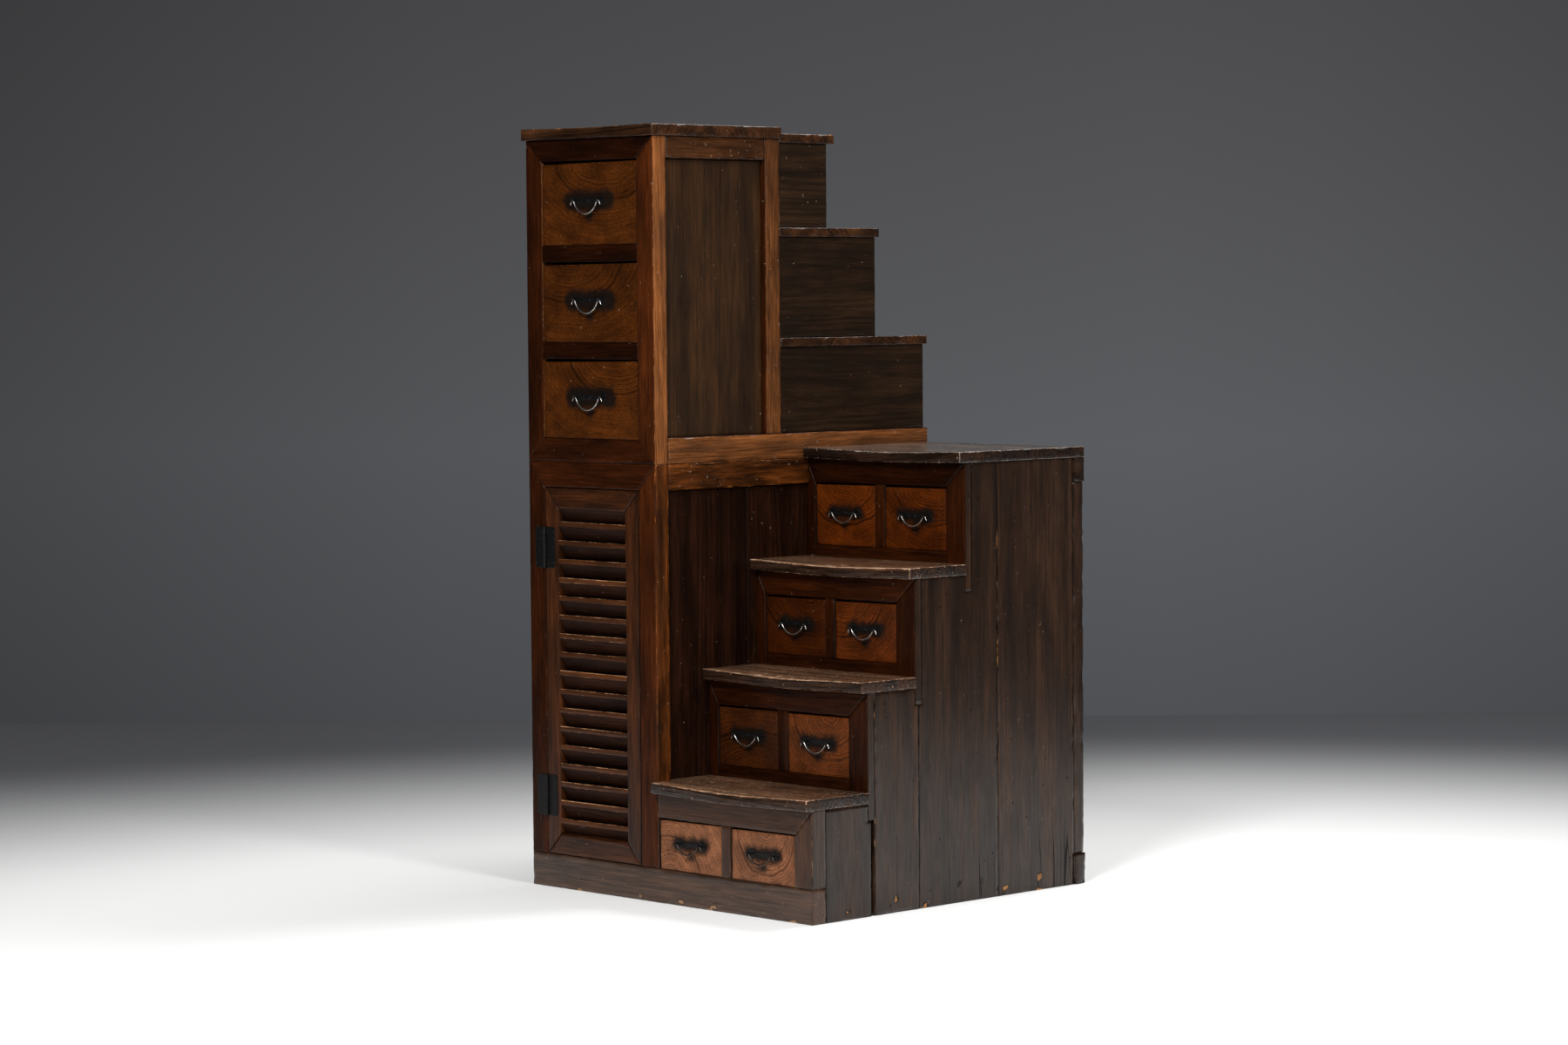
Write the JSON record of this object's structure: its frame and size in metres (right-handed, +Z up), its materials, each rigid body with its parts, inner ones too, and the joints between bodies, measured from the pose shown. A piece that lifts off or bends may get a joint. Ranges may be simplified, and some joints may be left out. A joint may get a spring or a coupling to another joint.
{
  "type": "step chest",
  "caption": "Two-case wooden step chest: a louvred cabinet beside drawer-filled stairs, under a drawer tower whose back climbs in steps.",
  "frame": {"origin": "middle of the chest's bounding box, on the floor", "axes": "+Z up; the drawers and the door face -Y; the lower stair is on the +X side and climbs towards +Y"},
  "size_m": [0.9924, 0.956, 1.85],
  "materials": {
    "lacquered_frame_wood": "thin dark red-brown lacquer, worn at the edges",
    "worn_frame_wood": "orange-brown lacquer rubbed through to the wood",
    "door_wood": "brown lacquer, dusty between the slats",
    "dark_panel_wood": "near black-brown lacquer over vertical or level grain",
    "tread_wood": "dark lacquer worn glossy on top and pale at the front edge",
    "side_board_wood": "grey-brown aged boards",
    "inner_wood": "plain unfinished softwood",
    "drawer_wood": "orange-brown lacquer over strongly figured grain",
    "black_iron": "hand-forged iron, blackened and rubbed bright"
  },
  "bodies": {
    "root": {"base_plinth": "lacquered_frame_wood", "tower_frame": "lacquered_frame_wood", "tower_side_boards": "dark_panel_wood", "lower_left_boards": "side_board_wood", "back_frame": "worn_frame_wood", "lower_back_boards": "side_board_wood", "lower_shelf_boards": "inner_wood", "step_1_frame": "lacquered_frame_wood", "step_2_frame": "lacquered_frame_wood", "step_3_frame": "lacquered_frame_wood", "landing_frame": "lacquered_frame_wood", "stair_treads": "tread_wood", "landing_board": "tread_wood", "stair_side_boards": "side_board_wood", "stair_drawer_shelves": "inner_wood", "upper_front_frame": "lacquered_frame_wood", "upper_side_frames": "worn_frame_wood", "upper_side_panels": "dark_panel_wood", "upper_step_panels": "dark_panel_wood", "upper_treads": "tread_wood", "upper_back_boards": "dark_panel_wood", "upper_drawer_shelves": "inner_wood", "upper_top_board": "tread_wood", "case_hinge_leaves": "black_iron"},
    "door": {"door_frame": "door_wood", "door_louvres": "door_wood", "door_hinge_leaves": "black_iron"},
    "step_1_left_drawer": {"step_1_left_drawer": "drawer_wood", "step_1_left_drawer_handle_plate": "black_iron"},
    "step_1_left_bail": {"step_1_left_drawer_bail": "black_iron"},
    "step_1_right_drawer": {"step_1_right_drawer": "drawer_wood", "step_1_right_drawer_handle_plate": "black_iron"},
    "step_1_right_bail": {"step_1_right_drawer_bail": "black_iron"},
    "step_2_left_drawer": {"step_2_left_drawer": "drawer_wood", "step_2_left_drawer_handle_plate": "black_iron"},
    "step_2_left_bail": {"step_2_left_drawer_bail": "black_iron"},
    "step_2_right_drawer": {"step_2_right_drawer": "drawer_wood", "step_2_right_drawer_handle_plate": "black_iron"},
    "step_2_right_bail": {"step_2_right_drawer_bail": "black_iron"},
    "step_3_left_drawer": {"step_3_left_drawer": "drawer_wood", "step_3_left_drawer_handle_plate": "black_iron"},
    "step_3_left_bail": {"step_3_left_drawer_bail": "black_iron"},
    "step_3_right_drawer": {"step_3_right_drawer": "drawer_wood", "step_3_right_drawer_handle_plate": "black_iron"},
    "step_3_right_bail": {"step_3_right_drawer_bail": "black_iron"},
    "landing_left_drawer": {"landing_left_drawer": "drawer_wood", "landing_left_drawer_handle_plate": "black_iron"},
    "landing_left_bail": {"landing_left_drawer_bail": "black_iron"},
    "landing_right_drawer": {"landing_right_drawer": "drawer_wood", "landing_right_drawer_handle_plate": "black_iron"},
    "landing_right_bail": {"landing_right_drawer_bail": "black_iron"},
    "upper_bottom_drawer": {"upper_bottom_drawer": "drawer_wood", "upper_bottom_drawer_handle_plate": "black_iron"},
    "upper_bottom_bail": {"upper_bottom_drawer_bail": "black_iron"},
    "upper_middle_drawer": {"upper_middle_drawer": "drawer_wood", "upper_middle_drawer_handle_plate": "black_iron"},
    "upper_middle_bail": {"upper_middle_drawer_bail": "black_iron"},
    "upper_top_drawer": {"upper_top_drawer": "drawer_wood", "upper_top_drawer_handle_plate": "black_iron"},
    "upper_top_bail": {"upper_top_drawer_bail": "black_iron"}
  },
  "joints": [
    {"name": "door_hinge", "type": "hinge", "parent": "root", "child": "door", "pos_m": [-0.42905, -0.4595, 0.522], "axis": [0, 0, -1], "range_deg": [0, 170]},
    {"name": "step_1_left_drawer_slide", "type": "slide", "parent": "root", "child": "step_1_left_drawer", "axis": [0, -1, 0], "range_m": [0, 0.59]},
    {"name": "step_1_left_bail_swing", "type": "hinge", "parent": "step_1_left_drawer", "child": "step_1_left_bail", "pos_m": [0.0807, -0.465, 0.148], "axis": [-1, 0, 0], "range_deg": [-12, 180]},
    {"name": "step_1_right_drawer_slide", "type": "slide", "parent": "root", "child": "step_1_right_drawer", "axis": [0, -1, 0], "range_m": [0, 0.59]},
    {"name": "step_1_right_bail_swing", "type": "hinge", "parent": "step_1_right_drawer", "child": "step_1_right_bail", "pos_m": [0.3267, -0.465, 0.148], "axis": [-1, 0, 0], "range_deg": [-12, 180]},
    {"name": "step_2_left_drawer_slide", "type": "slide", "parent": "root", "child": "step_2_left_drawer", "axis": [0, -1, 0], "range_m": [0, 0.468]},
    {"name": "step_2_left_bail_swing", "type": "hinge", "parent": "step_2_left_drawer", "child": "step_2_left_bail", "pos_m": [0.08995, -0.2825, 0.3945], "axis": [-1, 0, 0], "range_deg": [-12, 180]},
    {"name": "step_2_right_drawer_slide", "type": "slide", "parent": "root", "child": "step_2_right_drawer", "axis": [0, -1, 0], "range_m": [0, 0.468]},
    {"name": "step_2_right_bail_swing", "type": "hinge", "parent": "step_2_right_drawer", "child": "step_2_right_bail", "pos_m": [0.32645, -0.2825, 0.3945], "axis": [-1, 0, 0], "range_deg": [-12, 180]},
    {"name": "step_3_left_drawer_slide", "type": "slide", "parent": "root", "child": "step_3_left_drawer", "axis": [0, -1, 0], "range_m": [0, 0.362]},
    {"name": "step_3_left_bail_swing", "type": "hinge", "parent": "step_3_left_drawer", "child": "step_3_left_bail", "pos_m": [0.08995, -0.1225, 0.6515], "axis": [-1, 0, 0], "range_deg": [-12, 180]},
    {"name": "step_3_right_drawer_slide", "type": "slide", "parent": "root", "child": "step_3_right_drawer", "axis": [0, -1, 0], "range_m": [0, 0.362]},
    {"name": "step_3_right_bail_swing", "type": "hinge", "parent": "step_3_right_drawer", "child": "step_3_right_bail", "pos_m": [0.32645, -0.1225, 0.6515], "axis": [-1, 0, 0], "range_deg": [-12, 180]},
    {"name": "landing_left_drawer_slide", "type": "slide", "parent": "root", "child": "landing_left_drawer", "axis": [0, -1, 0], "range_m": [0, 0.247]},
    {"name": "landing_left_bail_swing", "type": "hinge", "parent": "landing_left_drawer", "child": "landing_left_bail", "pos_m": [0.08995, 0.05, 0.9125], "axis": [-1, 0, 0], "range_deg": [-12, 180]},
    {"name": "landing_right_drawer_slide", "type": "slide", "parent": "root", "child": "landing_right_drawer", "axis": [0, -1, 0], "range_m": [0, 0.247]},
    {"name": "landing_right_bail_swing", "type": "hinge", "parent": "landing_right_drawer", "child": "landing_right_bail", "pos_m": [0.32645, 0.05, 0.9125], "axis": [-1, 0, 0], "range_deg": [-12, 180]},
    {"name": "upper_bottom_drawer_slide", "type": "slide", "parent": "root", "child": "upper_bottom_drawer", "axis": [0, -1, 0], "range_m": [0, 0.263]},
    {"name": "upper_bottom_bail_swing", "type": "hinge", "parent": "upper_bottom_drawer", "child": "upper_bottom_bail", "pos_m": [-0.2598, -0.465, 1.201], "axis": [-1, 0, 0], "range_deg": [-12, 180]},
    {"name": "upper_middle_drawer_slide", "type": "slide", "parent": "root", "child": "upper_middle_drawer", "axis": [0, -1, 0], "range_m": [0, 0.263]},
    {"name": "upper_middle_bail_swing", "type": "hinge", "parent": "upper_middle_drawer", "child": "upper_middle_bail", "pos_m": [-0.2598, -0.465, 1.434], "axis": [-1, 0, 0], "range_deg": [-12, 180]},
    {"name": "upper_top_drawer_slide", "type": "slide", "parent": "root", "child": "upper_top_drawer", "axis": [0, -1, 0], "range_m": [0, 0.263]},
    {"name": "upper_top_bail_swing", "type": "hinge", "parent": "upper_top_drawer", "child": "upper_top_bail", "pos_m": [-0.2598, -0.465, 1.6725], "axis": [-1, 0, 0], "range_deg": [-12, 180]}
  ]
}
